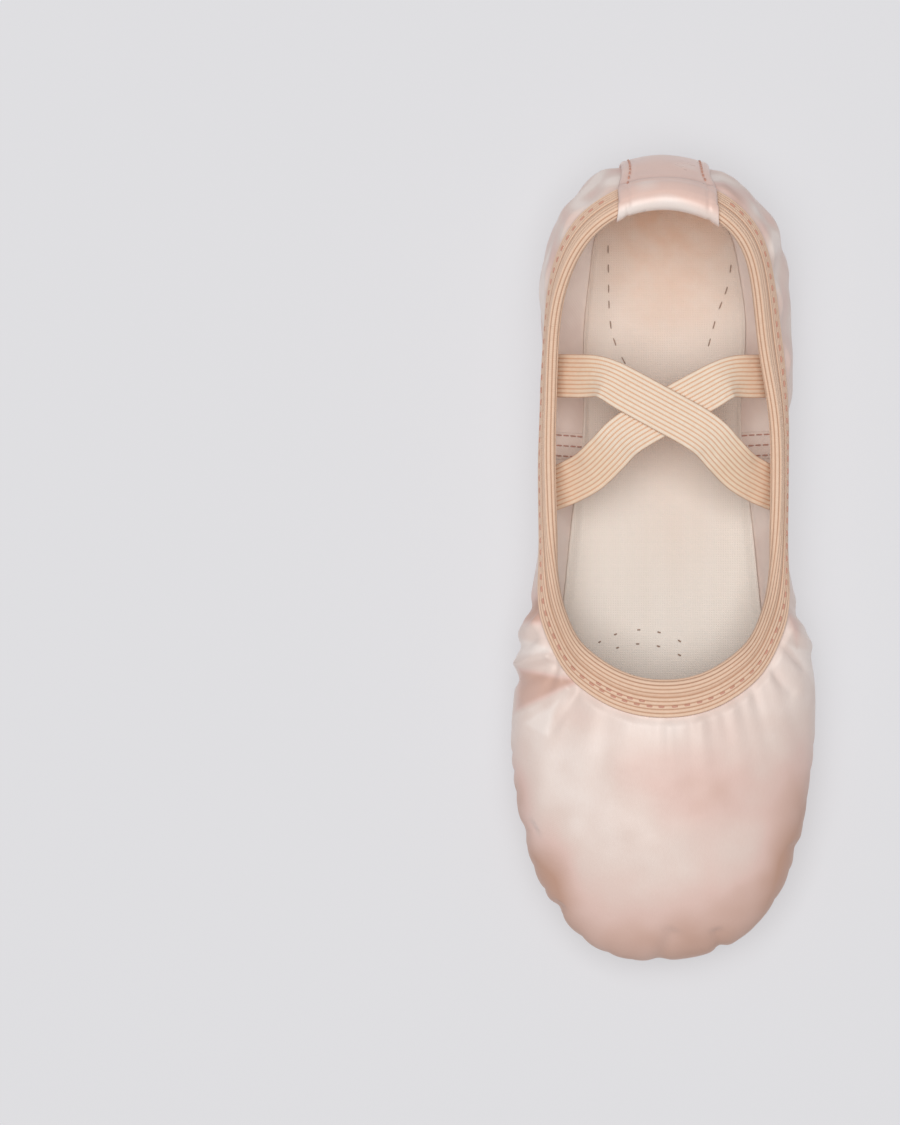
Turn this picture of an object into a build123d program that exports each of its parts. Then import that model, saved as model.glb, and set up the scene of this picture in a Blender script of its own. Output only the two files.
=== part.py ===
from build123d import *

import os
from math import atan2, degrees, hypot, sqrt

# A child's split-sole ballet slipper: satin upper, cotton lining, ribbed elastic topline and crossed straps.
# Frame: +Z up, toe towards -Y, heel towards +Y, origin on the ground under the middle of the slipper.

# Overall sizes, millimetres
length = 186.0
ball_width = 69.6
waist_width = 59.0
heel_width = 57.0
throat_height = 32.0  # front edge of the foot opening
side_height = 27.0  # topline beside the arch
heel_height = 46.0  # topline at the back

# Layers
suede_thickness = 1.4
satin_thickness = 0.6
lining_thickness = 0.5
foam_thickness = 1.8
sock_thickness = 0.6
elastic_thickness = 0.9

# Where the shape of the upper turns, measured along Y from the middle of the slipper
throat_y = -27.0
ball_y = -32.0
waist_y = 15.0
heel_y = 50.0
bulge_height = 13.0  # height at which the upper is widest
sole_inset = 12.0  # how far the sole edge lies inside the widest outline
heel_lean = 11.5  # how far the back of the topline leans in over the heel
side_lean = 4.5  # how far the topline leans in beside the arch
heel_side_lean = 6.5  # how far the sides of the heel lean in
dome_slope = 3.3  # how fast the front of the form draws back above the throat
least_reach = 9.5  # half width of the form where it closes over the foot

# Roundness of the upper: 2 is an ellipse, more is squarer
toe_round = 2.1
side_round = 2.2
under_round = 1.25  # below the widest line
back_round = 1.6  # above the heel
toe_corner = 0.75  # where the outline turns between toe and ball, as a share of both
heel_corner = 0.73

# Joints between the pieces of cloth
flex_y = -12.0  # hinge line of the sole, just behind the forefoot patch
flex_zone = 16.0  # length of wall that crumples behind the hinge line
side_seam_y = 30.0  # vamp to quarter
sole_margin = 7.0  # upper turned in under the sole

# Ribbed elastic
binding_width = 8.6
strap_width = 10.0
strap_rear_y = 42.0
strap_front_y = 16.5
strap_kink_x = 13.0
strap_crown = 30.5  # underside of the lower strap at the crossing
strap_foot = side_height - binding_width - 2.6  # where the lower strap leaves the wall
strap_tab = 7.5  # length sewn to the wall
strap_gap = 0.3  # between the crossed straps
span_half = 15.0  # half of the part of a strap that lifts, across the slipper

# Heel strip, seams, patches and thread
heel_strip_width = 23.0
heel_strip_foot = 7.0  # height of its lower end
heel_strip_turn = 10.0  # depth that the strip folds down inside
seam_fold_width = 7.0  # seam allowance turned to the front of the side seam
seam_fold_foot = 7.0
patch_edge = 0.5  # from the edge of the sole to the edge of a patch
forefoot_patch_back = -15.0  # middle of the patch's curved rear edge
forefoot_patch_bow = 29.0  # radius of that edge
heel_patch_front = 40.0
heel_patch_bow = 14.0  # radius of its front edge
patch_stitch_inset = 2.0
patch_stitch_rows = 3.2
stitch_length = 1.8
stitch_pitch = 3.0
thread = 0.35

# Heights of the layers under the foot
cloth_floor = suede_thickness
lining_floor = cloth_floor + satin_thickness
foam_floor = lining_floor + lining_thickness
sock_floor = foam_floor + foam_thickness
sock_top = sock_floor + sock_thickness
wall = satin_thickness + lining_thickness

half = length / 2
form_top = heel_height + 4.0
dome_top = throat_height + 1.0
SIDES = (-1, 1)


def reaches(z):
    """How far the outside of the upper reaches at height z: toe, ball, waist, heel and back, all positive."""
    below = max(bulge_height - z, 0) / (bulge_height - cloth_floor)
    above = max(z - bulge_height, 0)
    inset = sole_inset * min(below, 1) ** under_round
    crown = min(above / (dome_top - bulge_height), 0.985) ** toe_round
    waist_lean = side_lean * (above / (side_height - bulge_height)) ** 2
    flank_lean = heel_side_lean * (above / (0.75 * heel_height - bulge_height)) ** 2
    toe = -throat_y + (half + throat_y - 0.8 * inset) * (1 - crown) ** (1 / toe_round)
    if z > dome_top:
        toe = -throat_y - (z - dome_top) * dome_slope
    return {
        "toe": toe,
        "ball": max((ball_width / 2 - inset) * (1 - crown) ** (1 / side_round), least_reach),
        "waist": max(waist_width / 2 - inset - waist_lean, least_reach),
        "heel": heel_width / 2 - inset - flank_lean,
        "back": half - 0.7 * inset - heel_lean * (above / (heel_height - bulge_height)) ** back_round,
    }


def grown_reaches(z, grow):
    """The same, for a surface a distance grow outside the upper, or inside it where grow is negative."""
    steps = 12
    rises = [abs(grow) * (2 * i / steps - 1) for i in range(steps + 1)]
    grown = {}
    for name in reaches(z):
        pick, sign = (max, 1) if grow > 0 else (min, -1)
        grown[name] = pick(reaches(z + u)[name] + sign * sqrt(max(grow**2 - u**2, 0)) for u in rises)
    return grown


def outline_points(r):
    """Points of the outline with these reaches, from the toe round the right side to the back and home."""
    squeeze = (heel_y + r["toe"]) / (heel_y + half)  # the front features draw back as the toe does
    ball = heel_y - (heel_y - ball_y) * squeeze
    waist = heel_y - (heel_y - waist_y) * squeeze
    right = [
        (toe_corner * r["ball"], ball - (r["toe"] + ball) * toe_corner),
        (r["ball"], ball),
        (r["waist"], waist),
        (r["heel"], heel_y),
        (heel_corner * r["heel"], heel_y + heel_corner * (r["back"] - heel_y)),
    ]
    left = [(-x, y) for x, y in reversed(right)]
    return [(0, -r["toe"]), *right, (0, r["back"]), *left]


def upper_form(grow=0.0):
    """The closed form of the upper, grown by a distance. Its foot opening isn't cut."""
    shares = (0.0, 0.2, 0.45, 0.7, 1.0)
    bottom = cloth_floor - grow
    lower = [bottom + (bulge_height - bottom) * s for s in shares]
    middle = [bulge_height + (dome_top - 1.5 - bulge_height) * s for s in (0.22, 0.42, 0.62, 0.8, 1.0)]
    upper = [dome_top + (form_top - dome_top) * s for s in (0.18, 0.6, 1.0)]
    with BuildPart() as form:
        for z in lower + middle + upper:
            with BuildSketch(Plane.XY.offset(z)):
                with BuildLine():
                    Spline(*outline_points(grown_reaches(z, grow)), periodic=True)
                make_face()
        loft()
    return form.part


def above_topline(rise=0.0):
    """Everything above the edge of the foot opening; a rise leaves that much more of the form standing."""
    drop = throat_height - side_height
    climb = heel_height - side_height
    edge = [
        (throat_y, throat_height + 4.0),
        (throat_y + 1.0, throat_height - 0.3),
        (throat_y + 8.0, side_height + 0.42 * drop),
        (throat_y + 20.0, side_height + 0.08 * drop),
        (waist_y + 3.0, side_height),
        (heel_y - 8.0, side_height + 0.07 * climb),
        (heel_y + 12.0, side_height + 0.45 * climb),
        (heel_y + 27.0, heel_height - 3.0),
        (half - heel_lean + 5.0, heel_height),
    ]
    risen = []
    for i, (y, z) in enumerate(edge):
        (y0, z0), (y1, z1) = edge[max(i - 1, 0)], edge[min(i + 1, len(edge) - 1)]
        run = hypot(y1 - y0, z1 - z0)
        risen.append((y - rise * (z1 - z0) / run, z + rise * (y1 - y0) / run))
    far = half + 20
    with BuildPart() as prism:
        with BuildSketch(Plane.YZ):
            with BuildLine():
                Spline(*risen)
                corners = [(far, risen[-1][1] + 1), (far, 2 * heel_height), (risen[0][0], 2 * heel_height)]
                Polyline(risen[-1], *corners, risen[0])
            make_face()
        extrude(amount=ball_width, both=True)
    return prism.part


def zone(low, high, x=0.0, width=2 * ball_width, bottom=-10.0, top=2 * heel_height):
    """A block between two places along Y, centred on x."""
    with BuildPart() as block:
        with BuildSketch(Plane.XY.offset(bottom)):
            with Locations((x, (low + high) / 2)):
                Rectangle(width, high - low)
        extrude(amount=top - bottom)
    return block.part


def without(solid, *others):
    """A solid with others taken away, in order."""
    with BuildPart() as rest:
        add(solid)
        for other in others:
            add(other, mode=Mode.SUBTRACT)
    return rest.part


def within(solid, *others):
    """The part of a solid that lies inside every one of the others."""
    with BuildPart() as common:
        add(solid)
        for other in others:
            add(other, mode=Mode.INTERSECT)
    return common.part


def sole_plate(inset, bottom, top):
    """The flat of the sole, drawn in by a distance, between two heights."""
    drawn_in = {name: reach - inset for name, reach in reaches(cloth_floor).items()}
    with BuildPart() as plate:
        with BuildSketch(Plane.XY.offset(bottom)):
            with BuildLine():
                Spline(*outline_points(drawn_in), periodic=True)
            make_face()
        extrude(amount=top - bottom)
    return plate.part


def band_points(path, width):
    """Corners of a band of constant width, mitred where its path turns."""
    sides = ([], [])
    for i, (x, y) in enumerate(path):
        before, after = path[max(i - 1, 0)], path[min(i + 1, len(path) - 1)]
        normals = []
        for (x0, y0), (x1, y1) in ((before, (x, y)), ((x, y), after)):
            run = hypot(x1 - x0, y1 - y0)
            if run:
                normals.append(((y0 - y1) / run, (x1 - x0) / run))
        nx, ny = sum(n[0] for n in normals), sum(n[1] for n in normals)
        mitre = width * len(normals) / (nx**2 + ny**2) / 2
        sides[0].append((x + nx * mitre, y + ny * mitre))
        sides[1].append((x - nx * mitre, y - ny * mitre))
    return sides[0] + sides[1][::-1]


def strap_plan(side, width=strap_width):
    """The outline of one strap seen from above, as a prism, with its rear end at this side."""
    slope = (strap_front_y + 11 - strap_rear_y) / (2 * strap_kink_x - 1)
    path = [
        (side * (waist_width / 2 + 2), strap_rear_y + 0.5),
        (side * strap_kink_x, strap_rear_y),
        (side * (1 - strap_kink_x), strap_rear_y + slope * (2 * strap_kink_x - 1)),
        (side * (side_lean - waist_width / 2), strap_front_y),
        (-side * (waist_width / 2 + 6), strap_front_y - 8.5),
    ]
    with BuildPart() as plan:
        with BuildSketch():
            with BuildLine():
                Polyline(*band_points(path, width), close=True)
            make_face()
        extrude(amount=2 * heel_height)
    return plan.part


def strap_arch(lift):
    """The sheet that a strap is cut from, rising from both walls to the middle."""
    foot, crown = strap_foot + lift, strap_crown + lift
    reach = waist_width / 2 + 2
    steps = [reach * (i / 8 - 1) for i in range(17)]
    lower = [(x, foot + (crown - foot) * (1 - abs(x / (reach - 3.6)) ** 2.2)) for x in steps]
    upper = [(x, z + elastic_thickness) for x, z in lower]
    with BuildPart() as arch:
        with BuildSketch(Plane.XZ):
            with BuildLine():
                Spline(*lower)
                Spline(*upper)
                Line(lower[0], upper[0])
                Line(lower[-1], upper[-1])
            make_face()
        extrude(amount=length, both=True)
    return arch.part


def patch(inset, limit_y, bow, toe, bottom, top):
    """A patch of the sole, ending in a rounded edge at limit_y, drawn in by a distance."""
    centre = limit_y + (-bow if toe else bow)
    with BuildPart() as limits:
        with BuildSketch(Plane.XY.offset(bottom)):
            with Locations((0, centre)):
                Circle(bow - inset)
            with Locations((0, centre + (-half if toe else half))):
                Rectangle(ball_width, length)
        extrude(amount=top - bottom)
    return within(sole_plate(patch_edge + inset, bottom, top), limits.part)


def stitch_row(outline, bottom):
    """Short lengths of thread lying along the edge of a face."""
    wire = outline.outer_wire()
    count = int(wire.length / stitch_pitch)
    with BuildPart() as row:
        with BuildSketch(Plane.XY.offset(bottom)):
            for i in range(count):
                at, along = wire.position_at(i / count), wire.tangent_at(i / count)
                with Locations(Location((at.X, at.Y, 0), (0, 0, degrees(atan2(along.Y, along.X))))):
                    SlotOverall(stitch_length, thread)
        extrude(amount=thread)
    return row.part


def write(name, shape):
    """Exports one sub-part."""
    shape.label = name
    export_step(shape, f"parts/{name}.step")


os.makedirs("parts", exist_ok=True)
back_end = half + 5
wing_start = flex_y + flex_zone
fore_block, flex_block = zone(-back_end, flex_y), zone(flex_y, wing_start)
rear_block, wing_block = zone(wing_start, back_end), zone(wing_start, side_seam_y)
heel_block = zone(flex_y, back_end)

# Upper
cut = above_topline()
outside = without(upper_form(), cut)
satin_inside = without(upper_form(-satin_thickness), cut)
inside = without(upper_form(-wall), cut)
sole_opening = sole_plate(sole_margin, cloth_floor, foam_floor)
satin = without(outside, satin_inside, sole_opening)
lining = without(satin_inside, inside, sole_opening)
for name, cloth in (("satin", satin), ("lining", lining)):
    write(f"vamp_{name}", within(cloth, fore_block))
    write(f"flex_{name}", within(cloth, flex_block))
    write(f"wings_{name}", within(cloth, wing_block))
for name, side in (("left", -1), ("right", 1)):
    quarter = zone(side_seam_y, back_end, x=side * ball_width / 2, width=ball_width)
    write(f"quarter_{name}_satin", without(within(outside, quarter), satin_inside, sole_opening))
write("quarter_lining", within(lining, zone(side_seam_y, back_end)))

# Binding and heel strip: one wrapped layer, shared out between them
wrapped_top = above_topline(elastic_thickness)
wrap = without(upper_form(elastic_thickness), wrapped_top)
core = upper_form(-wall - elastic_thickness)
wrap = without(wrap, core, without(outside, inside))
strip_block = zone(heel_y, back_end, width=heel_strip_width, bottom=heel_strip_foot)
strip_inside = without(inside, above_topline(-heel_strip_turn))
write("heel_strip", without(within(wrap, strip_block), strip_inside))
binding = without(within(wrap, above_topline(-binding_width)), strip_block)
write("throat_binding", within(binding, fore_block))
write("flex_binding", within(binding, flex_block))
write("heel_binding", within(binding, rear_block))

# Side seam allowances, turned forwards, lying on the lining and trimmed clear of the straps
seam_block = zone(side_seam_y - seam_fold_width, side_seam_y, bottom=seam_fold_foot)
seam_layer = without(within(inside, seam_block), core, above_topline(-binding_width))
seam_layer = without(seam_layer, *(strap_plan(side, strap_width + 2 * strap_gap) for side in SIDES))
for name, side in (("left", -1), ("right", 1)):
    side_block = zone(-half, half, x=side * ball_width / 2, width=ball_width)
    write(f"side_seam_{name}", within(seam_layer, side_block))

# Layers under the foot
for name, layer in (
    ("sole_cloth", sole_opening),
    ("insole_foam", within(inside, zone(-half, half, bottom=foam_floor, top=sock_floor))),
    ("sock", within(inside, zone(-half, half, bottom=sock_floor, top=sock_top))),
):
    write(f"forefoot_{name}", within(layer, fore_block))
    write(f"heel_{name}", within(layer, heel_block))

# Suede patches and the thread that holds them
two_rows = (patch_stitch_inset, patch_stitch_inset + patch_stitch_rows)
for name, limit_y, bow, toe, insets in (
    ("forefoot", forefoot_patch_back, forefoot_patch_bow, True, two_rows),
    ("heel", heel_patch_front, heel_patch_bow, False, (patch_stitch_inset,)),
):
    write(f"{name}_patch", patch(0, limit_y, bow, toe, 0, cloth_floor))
    plates = [patch(inset, limit_y, bow, toe, 0, 1) for inset in insets]
    rows = [stitch_row(plate.faces().sort_by(Axis.Z)[0], sock_top) for plate in plates]
    with BuildPart() as thread_rows:
        for row in rows:
            add(row)
    write(f"{name}_patch_stitching", thread_rows.part)

# Straps: a span that lifts between two legs, each sewn to the wall by a tab
wall_layer = without(within(inside, zone(0, heel_y + 5, bottom=seam_fold_foot, top=throat_height)), core)
wall_layer = without(wall_layer, above_topline(-binding_width))
middle = zone(-half, half, width=2 * span_half)
strap_split_y = strap_rear_y - strap_width + 2  # between the rear end of a strap and its front end
for name, side, lift in (("under", 1, 0.0), ("over", -1, elastic_thickness + strap_gap)):
    plan = strap_plan(side)
    strap = within(strap_arch(lift), plan, core)
    foot = strap_foot + lift
    write(f"{name}_strap_span", within(strap, middle))
    for end, end_side, y in (("rear", side, (strap_split_y, half)), ("front", -side, (0, strap_split_y))):
        beyond = zone(*y, x=end_side * (span_half + ball_width / 2), width=ball_width)
        write(f"{name}_strap_{end}_leg", within(strap, beyond))
        low, high = foot - strap_tab, foot + 3 * elastic_thickness
        sewn = zone(*y, x=end_side * ball_width / 2, width=ball_width, bottom=low, top=high)
        write(f"{name}_strap_{end}_tab", within(wall_layer, plan, sewn))
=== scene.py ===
"""A child's ballet slipper: gathered satin over cotton lining, ribbed elastic binding and crossed straps.

The slipper stands on the floor with its toe towards -Y and its heel towards +Y. Lengths are in metres.
"""
import math

import bpy
import numpy as np
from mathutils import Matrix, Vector, noise


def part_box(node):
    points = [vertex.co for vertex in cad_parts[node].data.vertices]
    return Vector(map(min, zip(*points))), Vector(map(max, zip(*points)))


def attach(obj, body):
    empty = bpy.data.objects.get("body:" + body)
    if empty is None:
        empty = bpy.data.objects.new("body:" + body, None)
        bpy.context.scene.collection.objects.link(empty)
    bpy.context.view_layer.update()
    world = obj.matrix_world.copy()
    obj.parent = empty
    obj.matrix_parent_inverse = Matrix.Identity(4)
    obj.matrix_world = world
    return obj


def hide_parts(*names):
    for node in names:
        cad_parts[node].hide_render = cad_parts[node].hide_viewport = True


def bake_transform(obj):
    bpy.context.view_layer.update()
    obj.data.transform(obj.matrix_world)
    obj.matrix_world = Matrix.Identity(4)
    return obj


bl_info = {
    "name": "Ballet Slipper",
    "version": (1, 0, 0),
    "blender": (4, 5, 0),
    "location": "View3D > Sidebar > Slipper",
    "description": "Builds a satin ballet slipper with elastic binding and crossed straps",
    "category": "Object",
}

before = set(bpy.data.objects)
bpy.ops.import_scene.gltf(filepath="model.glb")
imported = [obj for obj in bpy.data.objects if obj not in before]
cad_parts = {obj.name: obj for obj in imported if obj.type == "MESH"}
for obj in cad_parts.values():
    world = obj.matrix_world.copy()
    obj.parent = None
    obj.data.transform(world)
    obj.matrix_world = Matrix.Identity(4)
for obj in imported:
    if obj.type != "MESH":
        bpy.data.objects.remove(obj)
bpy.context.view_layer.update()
MM = 0.001

# From the toe round one side to the back, in millimetres: x, y of the widest line; x, y, z of the top edge;
# roundness of the wall above; inset and roundness of the wall below.
STATIONS = (
    ((0.0, -93.2), (0.0, -29.0, 34.2), 0.95, (10.0, 1.5)),
    ((13.0, -90.9), (6.2, -28.3, 33.8), 0.95, (10.0, 1.5)),
    ((22.6, -83.6), (11.8, -26.2, 32.6), 0.96, (10.5, 1.45)),
    ((29.0, -73.5), (16.7, -23.0, 31.0), 1.0, (11.0, 1.4)),
    ((33.4, -56.5), (20.9, -18.4, 29.6), 1.06, (11.5, 1.35)),
    ((34.9, -38.0), (23.5, -12.4, 28.6), 1.2, (12.0, 1.3)),
    ((32.5, -18.0), (25.2, -5.0, 27.8), 1.5, (10.8, 1.2)),
    ((29.5, -2.0), (26.2, 4.5, 27.3), 1.8, (8.3, 1.05)),
    ((29.0, 14.0), (26.7, 16.0, 27.0), 2.0, (9.8, 0.95)),
    ((28.6, 34.0), (26.5, 33.0, 27.4), 2.0, (12.2, 0.95)),
    ((28.2, 55.0), (24.7, 51.0, 31.0), 2.0, (11.0, 0.95)),
    ((27.0, 69.5), (22.8, 63.5, 36.0), 1.9, (12.0, 1.05)),
    ((23.4, 80.0), (19.2, 72.4, 40.6), 1.8, (11.0, 1.2)),
    ((15.0, 88.6), (12.0, 79.2, 44.2), 1.8, (9.5, 1.3)),
    ((0.0, 93.3), (0.0, 82.4, 45.2), 1.8, (8.5, 1.4)),
)
BULGE_Z = 13.0 * MM  # height of the widest line
CLOTH_Z = 1.4 * MM  # underside of the upper, where it is turned in
UNDER_TURN = 9.0 * MM  # width of the turned-in edge
SEAM_Y = 30.0 * MM  # side seams, from vamp to quarter
WALL = 1.1 * MM  # from the satin's face to the lining's
TAPE = 0.55 * MM  # height of the binding's flat face above the cloth
SOLE_GAP = 0.27 * MM  # room under the suede for its stitches
TOP_LEAN, TOP_SHIFT = 1.5 * MM, 0.4 * MM  # how far the top edge leans left, behind the straps and all round
WIDE_LEAN = 0.8 * MM  # how far the widest line swells right beside the heel


# Numbers ----------------------------------------------------------------------------------------

def periodic_spline(knots, values, at):
    """Smooth closed curve through values at knots that run from 0 to 1."""
    count = len(knots)
    gap = np.diff(np.append(knots, 1.0 + knots[0]))
    before = np.roll(gap, 1)
    values = np.asarray(values, float).reshape(count, -1)
    slope = (np.roll(values, -1, 0) - values) / gap[:, None]
    matrix = np.zeros((count, count))
    for i in range(count):
        matrix[i, i - 1] += before[i]
        matrix[i, i] += 2 * (before[i] + gap[i])
        matrix[i, (i + 1) % count] += gap[i]
    bend = np.linalg.solve(matrix, 6 * (slope - np.roll(slope, 1, 0)))
    at = np.asarray(at, float) % 1.0
    i = np.clip(np.searchsorted(knots, at, side="right") - 1, 0, count - 1)
    j = (i + 1) % count
    h = gap[i][:, None]
    b = (at - knots[i])[:, None] / h
    a = 1 - b
    return a * values[i] + b * values[j] + ((a**3 - a) * bend[i] + (b**3 - b) * bend[j]) * h**2 / 6


def open_spline(points, count):
    """Evenly spaced points on a smooth curve through a few points, and how far along each one is."""
    points = np.asarray(points, float)
    padded = np.vstack([2 * points[0] - points[1], points, 2 * points[-1] - points[-2]])
    fine = []
    for p0, p1, p2, p3 in zip(padded, padded[1:], padded[2:], padded[3:]):
        for t in np.linspace(0, 1, 24, endpoint=False):
            fine.append(0.5 * (2 * p1 + (p2 - p0) * t + (2 * p0 - 5 * p1 + 4 * p2 - p3) * t**2
                               + (3 * p1 - p0 - 3 * p2 + p3) * t**3))
    fine = np.array(fine + [points[-1]])
    far = np.append(0, np.cumsum(np.linalg.norm(np.diff(fine, axis=0), axis=1)))
    at = np.linspace(0, far[-1], count)
    return np.stack([np.interp(at, far, fine[:, k]) for k in range(fine.shape[1])], 1), at


def unit(vectors):
    return vectors / np.maximum(np.linalg.norm(vectors, axis=-1, keepdims=True), 1e-12)


def smoothstep(low, high, value):
    t = np.clip((value - low) / (high - low), 0, 1)
    return t * t * (3 - 2 * t)


def bell(value, middle, width):
    """1 at the middle, falling smoothly to nearly 0 two widths away."""
    return np.exp(-(((value - middle) / width) ** 2))


def soft_noise(points, size, seed):
    """Smooth noise from -1 to 1 at each point, with lumps of about this size."""
    flat = points.reshape(-1, 3) / size + np.array((seed * 7.3, seed * 3.1, seed * 5.7))
    return np.array([noise.noise(p) for p in flat.tolist()]).reshape(points.shape[:-1])


class Form:
    """The outer surface of the upper.

    Places on it are (u, depth): u runs from 0 at the toe round the right side to 0.5 at the back and home,
    and depth is the distance down the cloth from the top edge.
    """

    rows, columns = 900, 150

    def __init__(self):
        mirrored = [((-x, y), (-top_x, top_y, z), above, below)
                    for (x, y), (top_x, top_y, z), above, below in STATIONS[-2:0:-1]]
        stations = list(STATIONS) + mirrored
        wide = np.array([s[0] for s in stations]) * MM
        steps = np.linalg.norm(np.diff(np.vstack([wide, wide[:1]]), axis=0), axis=1)
        self.knots = np.append(0, np.cumsum(steps)[:-1]) / steps.sum()
        table = np.array([[*s[0], *s[1], s[2], *s[3]] for s in stations])
        self.u = np.arange(self.rows) / self.rows
        values = periodic_spline(self.knots, table, self.u)
        self.wide, self.top = values[:, 0:2] * MM, values[:, 2:5] * MM
        self.top[:, 0] -= TOP_LEAN * bell(self.top[:, 1], 56 * MM, 18 * MM) + TOP_SHIFT
        self.wide[:, 0] += WIDE_LEAN * bell(self.wide[:, 1], 60 * MM, 20 * MM)
        round_above, inset, round_below = values[:, 5], values[:, 6] * MM, values[:, 7]
        along = unit(np.roll(self.wide, -1, 0) - np.roll(self.wide, 1, 0))
        self.inward = np.stack([-along[:, 1], along[:, 0]], 1)
        self.inset, self.round_below = inset, round_below
        paths = []
        for s in np.linspace(0, 1, 46):  # down from the top edge to the widest line
            angle = (1 - s) * math.pi / 2
            in_share = (1 - max(math.cos(angle), 0.0) ** round_above)[:, None]
            plan = self.wide + (self.top[:, :2] - self.wide) * in_share
            height = BULGE_Z + (self.top[:, 2] - BULGE_Z) * math.sin(angle) ** 0.97
            paths.append(np.column_stack([plan, height]))
        for t in np.linspace(0, 1, 22)[1:]:  # down to the edge of the sole
            height = np.full(self.rows, BULGE_Z + (CLOTH_Z - BULGE_Z) * t)
            paths.append(np.column_stack([self.below(t), height]))
        for t in np.linspace(0, 1, 8)[1:]:  # under the foot
            plan = self.below(1.0) + self.inward * UNDER_TURN * t
            paths.append(np.column_stack([plan, np.full(self.rows, CLOTH_Z + 0.1 * MM)]))
        path = np.stack(paths, 1)
        for _ in range(3):  # rounds the corner at the edge of the sole
            path[:, 1:-1] = (path[:, :-2] + 2 * path[:, 1:-1] + path[:, 2:]) / 4
        far = np.concatenate([np.zeros((self.rows, 1)),
                              np.cumsum(np.linalg.norm(np.diff(path, axis=1), axis=2), 1)], 1)
        self.reach = far[:, -1]
        grid = np.empty((self.rows, self.columns, 3))
        for i in range(self.rows):
            at = np.linspace(0, far[i, -1], self.columns)
            for k in range(3):
                grid[i, :, k] = np.interp(at, far[i], path[i, :, k])
        for _ in range(2):
            grid = (np.roll(grid, 1, 0) + 2 * grid + np.roll(grid, -1, 0)) / 4
        self.grid, self.normal = grid, self.normals(grid)
        depth = np.linspace(0, 1, self.columns)[None, :] * self.reach[:, None]
        wander = soft_noise(grid, 34 * MM, 1) * 0.9 * MM + soft_noise(grid, 15 * MM, 2) * 0.3 * MM
        wander *= smoothstep(0, 14 * MM, depth) * smoothstep(CLOTH_Z, CLOTH_Z + 7 * MM, grid[..., 2])
        self.grid = grid + self.normal * wander[..., None]
        self.normal = self.normals(self.grid)

    def below(self, t):
        """The outline in plan at a share of the way down from the widest line to the sole."""
        return self.wide + self.inward * (self.inset * t**self.round_below)[:, None]

    @staticmethod
    def normals(grid):
        along = np.roll(grid, -1, 0) - np.roll(grid, 1, 0)
        down = np.gradient(grid, axis=1)
        return unit(np.cross(down, along))

    def at(self, u, depth, lift=0.0):
        """Points at (u, depth), raised from the surface; a negative depth stands up past the top edge."""
        u, depth, lift = np.broadcast_arrays(u, depth, lift)
        row = (u % 1.0) * self.rows
        i = np.floor(row).astype(int)
        f = (row - i)[..., None]
        i, i2 = i % self.rows, (i + 1) % self.rows
        reach = self.reach[i] * (1 - f[..., 0]) + self.reach[i2] * f[..., 0]
        column = np.clip(depth / reach, 0, 1) * (self.columns - 1)
        j = np.minimum(np.floor(column).astype(int), self.columns - 2)
        g = (column - j)[..., None]

        def mix(field):
            return ((field[i, j] * (1 - g) + field[i, j + 1] * g) * (1 - f)
                    + (field[i2, j] * (1 - g) + field[i2, j + 1] * g) * f)

        place, normal = mix(self.grid), unit(mix(self.normal))
        up = unit(self.grid[i, 0] - self.grid[i, 3])
        return place + normal * lift[..., None] + up * np.maximum(-depth, 0)[..., None], normal

    def u_at_top(self, x):
        """The u where the top edge crosses x, at the back."""
        back = np.where((self.u > 0.44) & (self.u < 0.56))[0]
        return float(np.interp(-x, -self.top[back, 0], self.u[back]))


form = Form()


# Meshes and materials ---------------------------------------------------------------------------

def grid_object(name, points, close_rows=False, tube=False, size=(1.0, 1.0), values=None):
    """A smooth mesh through a grid of points, with a map in metres and values stored on its points.

    A tube closes on itself across its rows, and flat ends close its first and last row.
    """
    rows, columns = points.shape[:2]
    index = np.arange(rows * columns).reshape(rows, columns)
    if close_rows:
        index = np.vstack([index, index[:1]])
    if tube:
        index = np.hstack([index, index[:, :1]])
    quads = np.stack([index[:-1, :-1], index[:-1, 1:], index[1:, 1:], index[1:, :-1]], -1).reshape(-1, 4)
    ends = [index[0, :columns][::-1].tolist(), index[-1, :columns].tolist()] if tube else []
    mesh = bpy.data.meshes.new(name)
    mesh.from_pydata(points.reshape(-1, 3).tolist(), [], quads.tolist() + ends)
    r, c = np.meshgrid(np.arange(index.shape[0]) * size[0] / (index.shape[0] - 1),
                       np.arange(index.shape[1]) * size[1] / (index.shape[1] - 1), indexing="ij")
    corner = np.stack([r, c], -1)
    uv = np.stack([corner[:-1, :-1], corner[:-1, 1:], corner[1:, 1:], corner[1:, :-1]], 2).ravel()
    uv = np.append(uv, np.zeros(2 * columns * len(ends)))
    mesh.uv_layers.new(name="cloth").data.foreach_set("uv", uv.astype(np.float32))
    for key, value in (values or {}).items():
        layer = mesh.attributes.new(key, "FLOAT", "POINT")
        layer.data.foreach_set("value", np.asarray(value, np.float32).ravel())
    mesh.polygons.foreach_set("use_smooth", [True] * len(quads) + [False] * len(ends))
    mesh.update()
    return link(bpy.data.objects.new(name, mesh))


def link(piece):
    bpy.context.scene.collection.objects.link(piece)
    return piece


def join_meshes(name, parts):
    """One mesh made of many (points, faces) lists."""
    points, faces = [], []
    for part_points, part_faces in parts:
        start = len(points)
        points.extend(part_points)
        faces.extend([[start + i for i in face] for face in part_faces])
    mesh = bpy.data.meshes.new(name)
    mesh.from_pydata([tuple(p) for p in points], [], faces)
    mesh.polygons.foreach_set("use_smooth", [True] * len(mesh.polygons))
    mesh.update()
    return link(bpy.data.objects.new(name, mesh))


def thicken(piece, thickness, offset=-1.0):
    """Gives a sheet its thickness, as real faces."""
    solid = piece.modifiers.new("Thickness", "SOLIDIFY")
    solid.thickness, solid.offset = thickness, offset
    solid.use_even_offset = False
    return apply_modifier(piece, solid)


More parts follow.
